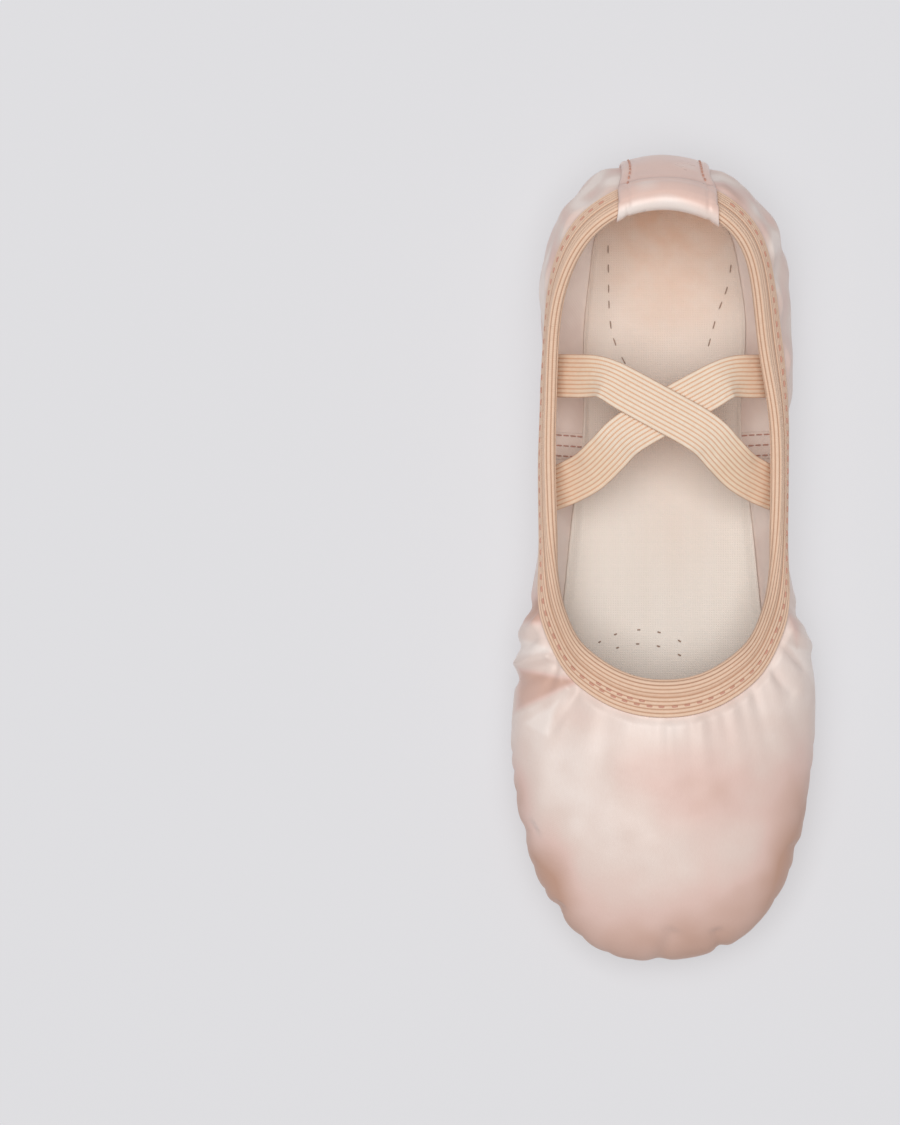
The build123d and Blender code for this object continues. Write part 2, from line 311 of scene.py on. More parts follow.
def apply_modifier(piece, modifier):
    bpy.context.view_layer.objects.active = piece
    with bpy.context.temp_override(object=piece, active_object=piece, selected_objects=[piece]):
        bpy.ops.object.modifier_apply(modifier=modifier.name)
    return piece


class Finish:
    """A material and the few node calls that its recipe needs."""

    def __init__(self, name, roughness, **sockets):
        self.material = bpy.data.materials.new(name)
        self.material.use_nodes = True
        self.nodes, self.links = self.material.node_tree.nodes, self.material.node_tree.links
        self.shader = self.nodes["Principled BSDF"]
        self.shader.inputs["Roughness"].default_value = roughness
        for socket, value in sockets.items():
            self.shader.inputs[socket.replace("_", " ")].default_value = value

    def node(self, kind, **settings):
        node = self.nodes.new("ShaderNode" + kind)
        for key, value in settings.items():
            if key in node.inputs:
                self.set(node.inputs[key], value)
            else:
                setattr(node, key, value)
        return node

    def set(self, socket, value):
        if isinstance(value, bpy.types.NodeSocket):
            self.links.new(value, socket)
        else:
            socket.default_value = value

    def place(self, uv=False):
        """Coordinates that stay on the cloth: its map, or its place in the slipper."""
        source = self.node("TexCoord")
        return source.outputs["UV" if uv else "Object"]

    def noise(self, scale, detail=3.0, at=None, roughness=0.5, stretch=None):
        at = at or self.place()
        if stretch:
            at = self.node("Mapping", Vector=at, Scale=stretch).outputs[0]
        made = self.node("TexNoise", Vector=at, Scale=scale, Detail=detail, Roughness=roughness)
        return made.outputs["Fac"]

    def wave(self, pitch, at, along="X", distortion=0.0):
        """Fine even ridges, one every pitch."""
        scaled = self.node("Mapping", Vector=at, Scale=(1 / (20 * pitch),) * 3).outputs[0]
        wave = self.node("TexWave", Vector=scaled, Scale=2 * math.pi, Distortion=distortion)
        wave.bands_direction = along
        return wave.outputs["Fac"]

    def ramp(self, value, *stops):
        ramp = self.node("ValToRGB", Fac=value)
        while len(ramp.color_ramp.elements) < len(stops):
            ramp.color_ramp.elements.new(0.5)
        for element, (place, color) in zip(ramp.color_ramp.elements, stops):
            element.position, element.color = place, (*color, 1)
        return ramp.outputs["Color"]

    def mix(self, share, a, b):
        mix = self.node("Mix", data_type="RGBA")
        self.set(mix.inputs[0], share)
        for socket, value in ((mix.inputs[6], a), (mix.inputs[7], b)):
            self.set(socket, value if isinstance(value, bpy.types.NodeSocket) else (*value, 1))
        return mix.outputs[2]

    def math(self, operation, a, b):
        node = self.node("Math", operation=operation)
        self.set(node.inputs[0], a)
        self.set(node.inputs[1], b)
        return node.outputs[0]

    def color(self, value):
        self.set(self.shader.inputs["Base Color"], value)

    def rough(self, value, low, high):
        node = self.node("MapRange", Value=value)
        node.inputs["To Min"].default_value, node.inputs["To Max"].default_value = low, high
        self.links.new(node.outputs[0], self.shader.inputs["Roughness"])

    def bump(self, *layers):
        """Layers of (height, distance), each laid over the last."""
        normal = None
        for height, distance in layers:
            bump = self.node("Bump", Height=height, Distance=distance)
            if normal:
                self.links.new(normal, bump.inputs["Normal"])
            normal = bump.outputs["Normal"]
        self.links.new(normal, self.shader.inputs["Normal"])
        return self.material


def satin(name, painted_highlight, pale, deep, shaded_rim, roughness=0.40):
    """Weft-faced satin with light and shade painted into its colour: a painted highlight and pale where it is
    smooth and faces the light, deeper painted shade where it turns, with a fine slanting weave.
    """
    finish = Finish(name, roughness, Specular_IOR_Level=0.5, Sheen_Weight=0.06, Sheen_Roughness=0.4,
                    Sheen_Tint=(1.0, 0.8, 0.72, 1.0), Anisotropic=0.4, Specular_Tint=(1.0, 0.88, 0.82, 1.0))
    # The stored tone values carry random tone and painted light: low values paint a highlight, high values
    # paint shade.
    depth = finish.node("Attribute", attribute_name="tone_and_painted_light").outputs["Fac"]
    cloud = finish.math("MULTIPLY", finish.noise(60, 3.0), 0.12)
    shade = finish.math("ADD", depth, finish.math("SUBTRACT", cloud, 0.06))
    color = finish.ramp(shade, (0.0, painted_highlight), (0.20, pale), (0.52, deep), (1.0, shaded_rim))
    thread = finish.wave(0.30 * MM, finish.place(uv=True), "DIAGONAL", 0.6)
    flecks = finish.noise(2600, 2.0, stretch=(1, 0.25, 1))
    finish.color(finish.mix(finish.math("MULTIPLY", flecks, 0.12), color, shaded_rim))
    finish.rough(finish.noise(140, 3.0), roughness - 0.05, roughness + 0.10)
    return finish.bump((finish.noise(75, 3.0), 0.30 * MM), (thread, 0.012 * MM), (flecks, 0.015 * MM))


def ribbed_elastic(name, crest, groove, lit_crest=None):
    """Covered rubber cords side by side: pale crests, deeper grooves that are partly the elastic's own colour
    and partly painted shade between the cords, short cross threads, and crests painted lighter where the
    stored share of painted light is high.
    """
    finish = Finish(name, 0.62, Sheen_Weight=0.2, Sheen_Roughness=0.6, Specular_IOR_Level=0.35)
    rib = finish.node("Attribute", attribute_name="rib").outputs["Fac"]
    # The stretch values are a share of painted light: where they are high, the crests take the lighter lit
    # colour.
    wear_and_painted_light = finish.node("Attribute", attribute_name="stretch").outputs["Fac"]
    fuzz = finish.noise(900, 4.0, stretch=(1, 1, 1))
    crests = finish.mix(wear_and_painted_light, crest, lit_crest or crest)
    crests = finish.mix(finish.math("MULTIPLY", fuzz, 0.35), crests, groove)
    shape = finish.ramp(rib, (0.25, (0, 0, 0)), (0.75, (0.85,) * 3), (1.0, (1,) * 3))
    finish.color(finish.mix(shape, groove, crests))
    cross = finish.wave(0.42 * MM, finish.place(uv=True), "X", 1.2)
    return finish.bump((cross, 0.05 * MM), (fuzz, 0.06 * MM))


def cotton_canvas(name, pale, shade, wear_and_painted_light):
    """Cream cotton: an open plain weave with slubs and a few soft marks of wear and painted shade."""
    finish = Finish(name, 0.86, Sheen_Weight=0.15, Specular_IOR_Level=0.2)
    at = finish.place()
    warp, weft = finish.wave(0.55 * MM, at, "X", 1.5), finish.wave(0.55 * MM, at, "Y", 1.5)
    weave = finish.math("MULTIPLY", warp, weft)
    slub = finish.noise(240, 3.0, stretch=(1, 0.12, 1))
    color = finish.mix(finish.math("MULTIPLY", weave, 0.25), pale, shade)
    color = finish.mix(finish.math("MULTIPLY", slub, 0.35), color, shade)
    # The mark values paint both wear and shade on the sock.
    mark = finish.node("Attribute", attribute_name="mark").outputs["Fac"]
    blotch = finish.math("MULTIPLY", mark, finish.math("ADD", finish.noise(220, 4.0), 0.5))
    finish.color(finish.mix(blotch, color, wear_and_painted_light))
    return finish.bump((weave, 0.06 * MM), (slub, 0.10 * MM), (finish.noise(60, 3.0), 0.25 * MM))


def suede(name, pale, deep):
    """Split suede: short nap brushed both ways, scuffed where it meets the floor."""
    finish = Finish(name, 0.93, Sheen_Weight=0.5, Sheen_Roughness=0.7, Specular_IOR_Level=0.15)
    nap = finish.noise(1500, 5.0, stretch=(1, 0.5, 1))
    brushed = finish.noise(70, 4.0, roughness=0.6)
    color = finish.ramp(brushed, (0.35, deep), (0.65, pale))
    finish.color(finish.mix(finish.math("MULTIPLY", nap, 0.5), color, deep))
    return finish.bump((nap, 0.10 * MM), (brushed, 0.12 * MM))


def lining_cloth(name, pale, deep):
    """Pink cotton twill, matt, a little darker in patches."""
    finish = Finish(name, 0.5, Sheen_Weight=0.2, Specular_IOR_Level=0.5)
    cloud = finish.noise(70, 3.0)
    twill = finish.wave(0.45 * MM, finish.place(uv=True), "DIAGONAL", 1.0)
    color = finish.ramp(cloud, (0.35, pale), (0.75, deep))
    finish.color(finish.mix(finish.math("MULTIPLY", twill, 0.18), color, deep))
    return finish.bump((twill, 0.04 * MM), (finish.noise(90, 3.0), 0.25 * MM))


def thread_finish(name, color, shade):
    """Sewing thread: two strands twisted together."""
    finish = Finish(name, 0.55, Sheen_Weight=0.2)
    twist = finish.noise(2200, 2.0)
    finish.color(finish.mix(twist, color, shade))
    return finish.bump((twist, 0.04 * MM),)


def padding(name, color, shade):
    """Thin felted insole padding."""
    finish = Finish(name, 0.95, Specular_IOR_Level=0.1)
    cells = finish.noise(800, 4.0)
    finish.color(finish.mix(cells, color, shade))
    return finish.bump((cells, 0.08 * MM),)


def wear(piece, material, nodes, body=None):
    """Gives a piece its material and its body, and hides the frame nodes that it stands for."""
    piece.data.materials.clear()
    piece.data.materials.append(material)
    if nodes:
        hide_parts(*nodes)
    if body:
        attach(piece, body)
    else:
        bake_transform(piece)
    return piece


# Pieces -----------------------------------------------------------------------------------------

def arc(points):
    """Distance along a closed row of points."""
    steps = np.linalg.norm(np.roll(points, -1, 0) - points, axis=-1)
    return np.append(0, np.cumsum(steps)[:-1]), steps.sum()


TOP_ARC, TOP_ROUND = arc(form.top)
WIDE_ARC, WIDE_ROUND = arc(form.wide)

# Pulled folds in the satin in plan: start, end, half width and height, in millimetres.
FOLDS = (
    ((-21.5, -20.5), (-33.5, -24.5), 1.1, 0.8),
    ((-21.5, -22.5), (-34.0, -28.5), 1.9, -1.1),
    ((-20.5, -28.5), (-32.0, -33.5), 1.5, 0.5),
    ((-19.0, -28.5), (-26.0, -40.0), 1.2, -0.4),
    ((-25.5, -8.0), (-32.5, -12.0), 1.6, -0.9),
    ((-26.0, -12.5), (-34.0, -18.5), 1.3, 0.7),
    ((-25.0, -16.5), (-34.0, -21.0), 1.1, -0.5),
    ((25.5, -8.5), (33.0, -14.0), 1.5, -1.0),
    ((25.5, -14.0), (34.5, -21.0), 1.3, 0.7),
    ((24.5, -17.5), (32.0, -25.5), 1.2, -0.6),
    ((21.5, -23.0), (29.0, -31.0), 1.3, -0.45),
    ((-30.0, -62.0), (-37.0, -66.0), 2.2, -0.7),
    ((-24.0, -80.0), (-28.0, -86.0), 1.6, -0.9),
    ((12.0, -86.0), (15.0, -96.0), 1.5, -0.8),
    ((2.0, -86.0), (-2.5, -97.0), 2.0, -0.6),
    ((30.0, -66.0), (34.0, -74.0), 1.8, -0.6),
)


def fold_lift(points):
    """How far the pulled folds raise or sink the satin."""
    lift = np.zeros(points.shape[:-1])
    plan = points[..., :2]
    for start, end, width, height in FOLDS:
        a, b = np.array(start) * MM, np.array(end) * MM
        run = b - a
        t = ((plan - a) @ run) / (run @ run)
        near = np.clip(t, 0, 1)
        apart = np.linalg.norm(plan - (a + near[..., None] * run), axis=-1) / (width * MM)
        side = smoothstep(5 * MM, 10 * MM, points[..., 2])
        ends = smoothstep(-0.1, 0.35, 1.2 - np.abs(2 * t - 1))
        lift += 1.2 * height * MM * np.exp(-apart**2) * side * ends
    return lift


def gathers(along, out, front, free):
    """Short and long gathers that run forwards from the binding and fade with the distance from it."""
    wobble = noise_row(along, 9 * MM, 3, TOP_ROUND)
    strength = np.clip(0.45 + 0.9 * noise_row(along, 13 * MM, 4, TOP_ROUND), 0.1, 1)
    short = np.cos(waves(along, 3.7 * MM, TOP_ROUND) + 2.4 * wobble)
    long = np.cos(waves(along, 8.3 * MM, TOP_ROUND) + 3.0 * wobble)
    fade = np.maximum(out, 0)
    lift = 0.40 * MM * short * strength * np.exp(-fade / (5.5 * MM))
    return (lift + 0.30 * MM * long * np.exp(-fade / (13 * MM))) * free * front


def pleats(along, z, toe, back):
    """How deep the creases are where the satin is drawn under the toe and the heel, from 0 to about 1."""
    wobble = noise_row(along, 11 * MM, 5, WIDE_ROUND)
    phase = waves(along, 6.2 * MM, WIDE_ROUND) / 2 + 1.9 * wobble
    crease = 1 - np.abs(np.sin(phase)) ** 0.55
    strength = np.clip(0.55 + 1.2 * noise_row(along, 17 * MM, 6, WIDE_ROUND), 0.12, 1.1)
    low = 1 - smoothstep(7 * MM, 19 * MM, z)
    return crease * low * strength * (toe + 0.7 * back)


def satin_lift(u, depth, points, binding_width):
    """How far the satin stands off its form at each point, and how deep its creases are there."""
    x, y, z = (points[..., k] for k in range(3))
    top_along = np.interp(u % 1.0, form.u, TOP_ARC)
    wide_along = np.interp(u % 1.0, form.u, WIDE_ARC)
    out = depth - binding_width
    front = 1 - smoothstep(-24 * MM, 2 * MM, y)
    back = smoothstep(58 * MM, 72 * MM, y)
    toe = 1 - smoothstep(-52 * MM, -34 * MM, y)
    right = smoothstep(-5 * MM, 5 * MM, x)
    free = smoothstep(-0.2 * MM, 2.4 * MM, out)
    pressed = smoothstep(9 * MM, 14 * MM, np.abs(x)) * back + (1 - back)  # flat under the heel strip
    heel = smoothstep(48 * MM, 64 * MM, y) * (1 - right) + smoothstep(33 * MM, 40 * MM, y) * right
    heel = heel * pressed
    puff = (0.15 + 0.85 * front + 0.9 * heel) * MM * free * (1 - 0.45 * smoothstep(8 * MM, 26 * MM, out))
    creases = pleats(wide_along, z, toe, back)
    dents = soft_noise(points, 8.5 * MM, 7) * 1.4 * MM * heel * free * smoothstep(6 * MM, 12 * MM, z)
    crumple = soft_noise(points, 7.5 * MM, 8) * 0.22 * MM * free * (0.5 + heel + front * 0.2) * pressed
    seam = bell(y, SEAM_Y, 0.45 * MM) * smoothstep(3 * MM, 5 * MM, z)
    pucker = np.cos(z * 2 * math.pi / (2.6 * MM)) * np.exp(-np.abs(y - SEAM_Y) / (2.5 * MM))
    back_seam = bell(x, 0, 0.4 * MM) * back
    seams = -0.35 * MM * seam * free + 0.10 * MM * pucker * free - 0.3 * MM * back_seam
    stand = puff + gathers(top_along, out, front, free) - 1.5 * MM * creases + dents + crumple + seams
    return stand + fold_lift(points) * free, creases


# Painted shade on the satin in plan: centre, half widths and strength, in millimetres.
PAINTED_SHADE_SPOTS = (
    (13, -52, 19, 8, 0.36), (-6, -48, 9, 6, 0.22), (9, -58, 13, 6, 0.20), (32, -52, 6, 10, 0.32),
    (-29, -77, 8, 12, 0.86), (-34, -54, 3, 9, 0.45), (31, -70, 8, 11, 0.86), (0, -91, 28, 9, 0.40),
    (20, -80, 14, 8, 0.36), (-20, -36, 5, 3, 0.12), (-30, -10, 3, 5, 0.30),
)

# Where a pulled fold cuts the light off sharply, painted into the satin's colour in plan: three corners in
# millimetres and the strength; a positive strength paints shade and a negative one paints a highlight.
PAINTED_FOLD_WEDGES = (
    ((-35.0, -36.0), (-34.0, -24.8), (-18.5, -27.6), 0.62),
    ((-35.0, -15.0), (-27.0, -5.0), (-24.5, -15.5), 0.50),
    ((26.0, -8.5), (30.6, -21.5), (32.0, -14.5), 0.30),
    ((-36.0, -22.5), (-34.0, -18.0), (-22.0, -21.5), -0.30),
    ((27.5, -19.0), (36.0, -22.0), (35.0, -29.0), -0.25),
    ((-24.0, -31.5), (-33.0, -38.0), (-27.0, -41.0), -0.22),
)


def inside(x, y, corners):
    """1 well inside a triangle and 0 outside it, soft along its edges."""
    spin = np.sign(np.cross(corners[1] - corners[0], corners[2] - corners[0]))
    depth = np.inf
    for a, b in zip(corners, np.roll(corners, -1, 0)):
        run = unit(b - a) * spin
        depth = np.minimum(depth, run[0] * (y - a[1]) - run[1] * (x - a[0]))
    return smoothstep(-0.5, 1.6, depth)


def tone_and_painted_light(points, normals):
    """How deep the satin's colour is at each point, from 0 to 1: random tone, painted spots of shade, painted
    fold shadows and highlights, painted shade where the cloth turns from the light and towards the sole and
    the toe, and painted highlights and shade in blotches on the heel.
    """
    x, y, z = (points[..., k] / MM for k in range(3))
    value = 0.16 + 0.15 * soft_noise(points, 17 * MM, 41) + 0.08 * soft_noise(points, 5 * MM, 42)
    for cx, cy, rx, ry, strength in PAINTED_SHADE_SPOTS:
        value += strength * bell(x, cx, rx) * bell(y, cy, ry)
    for *corners, strength in PAINTED_FOLD_WEDGES:
        value += strength * inside(x, y, np.array(corners))
    # Painted shade where the cloth turns from the light overhead, at the toe.
    turned = 1 - np.clip(normals[..., 2], 0, 1)
    toe = 1 - smoothstep(-62, -44, y)
    value += turned**2 * 0.55 * toe
    # Painted shade towards the sole and towards the tip of the toe.
    value += 0.30 * (1 - smoothstep(2, 11, z)) + 0.26 * (1 - smoothstep(-92, -64, y))
    # Painted highlights and painted shade in blotches on the heel, stronger higher up the wall.
    heel = smoothstep(30, 50, y)
    blotch = 0.22 + 0.48 * smoothstep(16, 30, z)
    value += heel * (0.08 + blotch * soft_noise(points, 6.5 * MM, 43))
    return np.clip(value, 0, 1)


def noise_row(along, size, seed, round_trip):
    """Noise that changes only along a closed row, and meets itself at the toe."""
    angle = np.linspace(0, 2 * math.pi, int(8 * round_trip / size) + 8)
    ring = round_trip / (2 * math.pi * size)
    values = [noise.noise((ring * math.cos(a), ring * math.sin(a), seed * 4.1)) for a in angle.tolist()]
    return np.interp(along % round_trip, angle / (2 * math.pi) * round_trip, values)


def waves(along, pitch, round_trip):
    """Phase of even waves that close on themselves round the slipper."""
    return 2 * math.pi * along / round_trip * round(round_trip / pitch)


def u_at_seam():
    """The u of the right side seam on the widest line."""
    right = form.u < 0.4
    return float(np.interp(SEAM_Y, form.wide[right, 1], form.u[right]))


def cloth_piece(name, u_from, u_to, rows, columns, lift, binding_width, thickness):
    """One panel of the upper, from its top edge to where it is turned under the foot."""
    u = np.linspace(u_from, u_to, rows)[:, None]
    share = np.linspace(0, 1, columns)[None, :]
    reach = np.interp(u % 1.0, form.u, form.reach, period=1.0)
    depth = share * reach
    points, normals = form.at(u, depth)
    if lift is None:
        stand, creases = satin_lift(np.broadcast_to(u, depth.shape), depth, points, binding_width)
        floor_gap = points[..., 2] - CLOTH_Z
        stand *= smoothstep(-0.5 * MM, 2.5 * MM, floor_gap)
    else:
        stand, creases = np.full(depth.shape, lift), 0.0
    points = points + normals * stand[..., None]
    points[..., 2] = np.maximum(points[..., 2], CLOTH_Z - (lift or 0))
    size = (abs(u_to - u_from) * WIDE_ROUND, 0.08)
    # The satin's tone values also take painted shade in the creases of the pleats.
    piece = grid_object(name, points, size=size, values={"tone_and_painted_light": tone_and_painted_light(points, normals) + 0.4 * creases})
    return thicken(piece, thickness, 1.0 if lift else -1.0)


def ribs(width, pitch, height, per_rib=6):
    """Places across a ribbed tape: distance, height of the surface and how near to a crest."""
    count = max(int(round(width / pitch)), 1)
    across, rise, crest = [], [], []
    for rib in range(count):
        for k in range(per_rib):
            f = k / per_rib
            across.append((rib + f) * width / count)
            bow = math.sqrt(max(1 - (2 * f - 1) ** 2, 0))
            rise.append(height * bow)
            crest.append(bow)
    across.append(width)
    rise.append(0.0)
    crest.append(0.0)
    return np.array(across), np.array(rise), np.array(crest)


def build_binding(sizes):
    """Elastic tape folded over the edge of the foot opening."""
    outer_width, inner_width = sizes.binding_width, sizes.binding_width - 1.2 * MM
    pitch = sizes.rib_pitch
    across, rise, crest = ribs(outer_width, pitch, 0.30 * MM)
    stitch_line = bell(across, outer_width - sizes.binding_stitch_inset, 0.42 * MM)
    rise = rise - 0.22 * MM * stitch_line
    # The rib values are lowered along the sunken stitch line, which paints shade there.
    depth, lift, rib = [outer_width - across], [TAPE + rise], [crest * (1 - 0.35 * stitch_line)]
    fold = WALL / 2 + TAPE + 0.1 * MM
    turn, turn_rise, turn_crest = ribs(math.pi * fold, pitch, 0.28 * MM)
    angle = turn / fold
    depth.append(-(fold + turn_rise) * np.sin(angle))
    lift.append(-WALL / 2 + (fold + turn_rise) * np.cos(angle))
    rib.append(turn_crest)
    across, rise, crest = ribs(inner_width, pitch, 0.26 * MM)
    depth.append(across)
    lift.append(-WALL - TAPE - rise)
    rib.append(crest)
    for start, end, height in ((inner_width, 0, -WALL + 0.1 * MM), (0, outer_width, -0.1 * MM)):
        depth.append(np.linspace(start, end, 8))
        lift.append(np.full(8, height))
        rib.append(np.zeros(8))
    depth, lift, rib = (np.concatenate(part) for part in (depth, lift, rib))
    u_end = form.u_at_top(sizes.heel_strip_width / 2 - 3 * MM)
    u = np.linspace(-u_end, u_end, 560)
    along = np.interp(u % 1.0, form.u, TOP_ARC, period=1.0)
    sway = 0.2 * MM * noise_row(along, 16 * MM, 9, TOP_ROUND)
    points, _ = form.at(u[:, None], depth[None, :], lift[None, :] + sway[:, None])
    # The stretch values stay at 0 here: the binding's crests get no painted light.
    values = {"rib": np.tile(rib, (len(u), 1)), "stretch": np.zeros((len(u), len(rib)))}
    piece = grid_object("elastic_binding", points, tube=True, size=(TOP_ROUND, 0.03), values=values)
    return wear(piece, finish_for("binding"),
                ["throat_binding", "flex_binding", "heel_binding"])


def stitch_mesh(center, along, normal, length, radius):
    """One stitch: a short bowed length of thread, its ends drawn into the cloth."""
    side = np.cross(normal, along)
    points, faces, sections, around = [], [], 7, 6
    for i in range(sections):
        t = i / (sections - 1) * 2 - 1
        bow = radius * (1.15 - 2.3 * t**4)
        width = radius * math.sqrt(max(1 - 0.7 * t**6, 0.05))
        middle = center + along * (t * length / 2) + normal * bow
        for k in range(around):
            a = 2 * math.pi * k / around
            points.append(middle + (side * math.cos(a) + normal * math.sin(a)) * width)
    for i in range(sections - 1):
        for k in range(around):
            k2 = (k + 1) % around
            faces.append([i * around + k, i * around + k2, (i + 1) * around + k2, (i + 1) * around + k])
    faces.append(list(range(around))[::-1])
    faces.append([(sections - 1) * around + k for k in range(around)])
    return points, faces


def row_of_stitches(points, normals, pitch, length, radius, jitter=0.0, seed=1):
    """Stitches laid along a run of points on the cloth."""
    far = np.append(0, np.cumsum(np.linalg.norm(np.diff(points, axis=0), axis=1)))
    count = int(far[-1] / pitch)
    rng = np.random.default_rng(seed)
    made = []
    for i in range(count):
        at = (i + 0.5) * pitch + rng.uniform(-jitter, jitter)
        middle, ahead, behind = (along_row(at + step, far, points) for step in (0, length / 2, -length / 2))
        normal = unit(along_row(at, far, normals))
        made.append(stitch_mesh(middle, unit(ahead - behind), normal, length, radius))
    return made


def along_row(at, far, values):
    return np.array([np.interp(at, far, values[:, k]) for k in range(3)])


def build_binding_stitching(sizes):
    """The row that sews the binding down, doubled back where it starts and stops."""
    depth = sizes.binding_width - sizes.binding_stitch_inset
    u_end = form.u_at_top(sizes.heel_strip_width / 2)
    u = np.linspace(-u_end, u_end, 900)
    points, normals = form.at(u, depth, TAPE)
    made = row_of_stitches(points, normals, 2.9 * MM, 1.9 * MM, 0.24 * MM, 0.12 * MM)
    u = np.linspace(-0.075, -0.012, 80)
    points, normals = form.at(u, depth - 1.0 * MM, 0.62 * MM)
    made += row_of_stitches(points, normals, 2.7 * MM, 1.8 * MM, 0.24 * MM, 0.12 * MM, 2)
    piece = join_meshes("binding_stitching", made)
    return wear(piece, finish_for("pink_thread"), [])


def build_upper(sizes):
    """Satin vamp and quarters, and the cotton lining inside them."""
    seam = u_at_seam()
    vamp = cloth_piece("vamp", -seam, seam, 470, 190, None, sizes.binding_width, sizes.satin_thickness)
    wear(vamp, finish_for("satin"), ["vamp_satin", "flex_satin", "wings_satin"])
    for side, start, end in (("right", seam, 0.5), ("left", 0.5, 1 - seam)):
        quarter = cloth_piece(f"quarter_{side}", start, end, 120, 120, None, sizes.binding_width,
                              sizes.satin_thickness)
        wear(quarter, finish_for("satin"), [f"quarter_{side}_satin"])
    lining = cloth_piece("lining", 0, 1, 420, 110, -WALL, sizes.binding_width, 0.4 * MM)
    nodes = [f"{name}_lining" for name in ("vamp", "flex", "wings", "quarter")]
    wear(lining, finish_for("lining"), nodes)


def build_side_seams(sizes):
    """Seam allowance folded forwards inside each side, held by rows of stitches."""
    seam = u_at_seam()
    for side, sign in (("left", -1), ("right", 1)):
        width = 6.5 * MM / WIDE_ROUND
        u = sign * np.linspace(seam - width, seam, 24)
        depth = np.linspace(2 * MM, 31 * MM, 60)
        edge = np.minimum(np.arange(24), np.arange(24)[::-1])
        lift = -WALL - 0.42 * MM * np.minimum(edge / 3, 1)
        points, _ = form.at(u[:, None], depth[None, :], lift[:, None])
        fold = grid_object(f"side_seam_fold_{side}", points, size=(0.0065, 0.029))
        thicken(fold, 0.2 * MM, 1.0 if sign > 0 else -1.0)
        wear(fold, finish_for("lining"), [f"side_seam_{side}"], "heel")
        made = []
        for shift in (0.8 * MM, 3.2 * MM, 5.6 * MM):
            u_row = np.full(90, sign * (seam - shift / WIDE_ROUND))
            points, normals = form.at(u_row, np.linspace(7 * MM, 30 * MM, 90), -WALL - 0.45 * MM)
            made += row_of_stitches(points, -normals, 2.3 * MM, 2.0 * MM, 0.16 * MM, 0.05 * MM)
        piece = join_meshes(f"side_seam_stitching_{side}", made)
        wear(piece, finish_for("rose_thread"), [], "heel")


def build_heel_strip(sizes):
    """Satin strip folded over the back of the opening, sewn down both sides."""
    outside, turned, inside_rows = 60, 26, 26  # rows down the back, over the edge and down the inside
    columns, stitch_share = 72, 0.80
    half_width = sizes.heel_strip_width / 2
    down = np.linspace(38 * MM, 0, outside)
    depths = np.concatenate([down, np.zeros(turned), np.linspace(0, 10.5 * MM, inside_rows)])
    radius = WALL / 2 + 1.9 * MM
    angle = np.linspace(0, math.pi, turned + 2)[1:-1]
    outer = 1.3 * MM + 0.75 * MM * (1 - smoothstep(2.5 * MM, 7 * MM, down))
    outer -= 0.35 * MM * bell(down, 7.2 * MM, 0.7 * MM)
    stand = np.concatenate([np.zeros(outside), radius * np.sin(angle), np.zeros(inside_rows)])
    inner = np.full(inside_rows, -WALL / 2 - radius)
    lift = np.concatenate([outer, -WALL / 2 + radius * np.cos(angle), inner])
    fine_u = np.linspace(0.43, 0.57, 260)
    across = np.linspace(-1, 1, columns)
    rows = []
    for d, s, h in zip(depths, stand, lift):
        points, _ = form.at(fine_u, -s if s > 0 else d, h)
        points = points[np.argsort(points[:, 0])]
        x = across * half_width * (1.0 - 0.10 * smoothstep(4 * MM, 16 * MM, d if h > 0 else 0))
        rows.append(np.stack([np.interp(x, points[:, 0], points[:, k]) for k in range(3)], 1))
    grid = np.stack(rows, 1)
    normal = strip_normals(grid)
    row = np.arange(len(depths))
    on_back = row < outside
    dip = -0.25 * MM * bell(np.abs(across), stitch_share, 0.035)[:, None]
    crease = soft_noise(grid, 9 * MM, 12) * 0.35 * MM
    curl = 0.9 * MM * smoothstep(0.93, 1.0, np.abs(across))[:, None] * on_back
    ridge = 0.30 * MM * bell(depths, 6.5 * MM, 0.8 * MM) * on_back
    grid = grid + normal * (dip + crease + ridge - 0.4 * curl)[..., None]
    # Painted light on the strip, over random tone: a painted highlight along the crest of the roll, painted
    # shade in the crease below the ridge and down the inside of the turn.
    crest = bell(row, outside + turned / 2, 9)
    shade = 0.30 + 0.22 * soft_noise(grid, 7 * MM, 44) - 0.34 * crest
    shade += 0.3 * bell(depths, 7.4 * MM, 1.0 * MM) + 0.2 * smoothstep(80, 90, row)
    values = {"tone_and_painted_light": np.clip(shade, 0, 1)}
    piece = grid_object("heel_strip_satin", grid, size=(0.023, 0.055), values=values)
    thicken(piece, 0.5 * MM, -1.0)
    wear(piece, finish_for("strip"), ["heel_strip"], "heel")
    made = []
    for share in (-stitch_share, stitch_share):
        column = int(round((share + 1) / 2 * (columns - 1)))
        line, out = grid[column, 4:50], normal[column, 4:50]
        made += row_of_stitches(line, out, 2.5 * MM, 1.7 * MM, 0.2 * MM, 0.08 * MM)
    stitching = join_meshes("heel_strip_stitching", made)
    wear(stitching, finish_for("pink_thread"), [], "heel")


def strip_normals(grid):
    """The way that an open grid of points faces, outwards."""
    return unit(np.cross(np.gradient(grid, axis=1), np.gradient(grid, axis=0)))


# The line of the upper strap from its rear end to its front end, in millimetres.
STRAP_LINE = (
    (-27.5, 42.9, 16.6), (-25.2, 42.7, 20.6), (-20.5, 42.4, 26.2), (-16.0, 42.2, 30.4), (-13.0, 41.2, 32.2),
    (-9.0, 39.0, 32.5), (-1.0, 34.6, 32.7), (6.2, 30.6, 32.6), (10.2, 27.8, 31.9), (13.6, 24.2, 29.9),
    (17.6, 20.4, 26.4), (21.8, 18.0, 22.4), (25.0, 16.7, 19.2), (27.0, 16.0, 17.0),
)


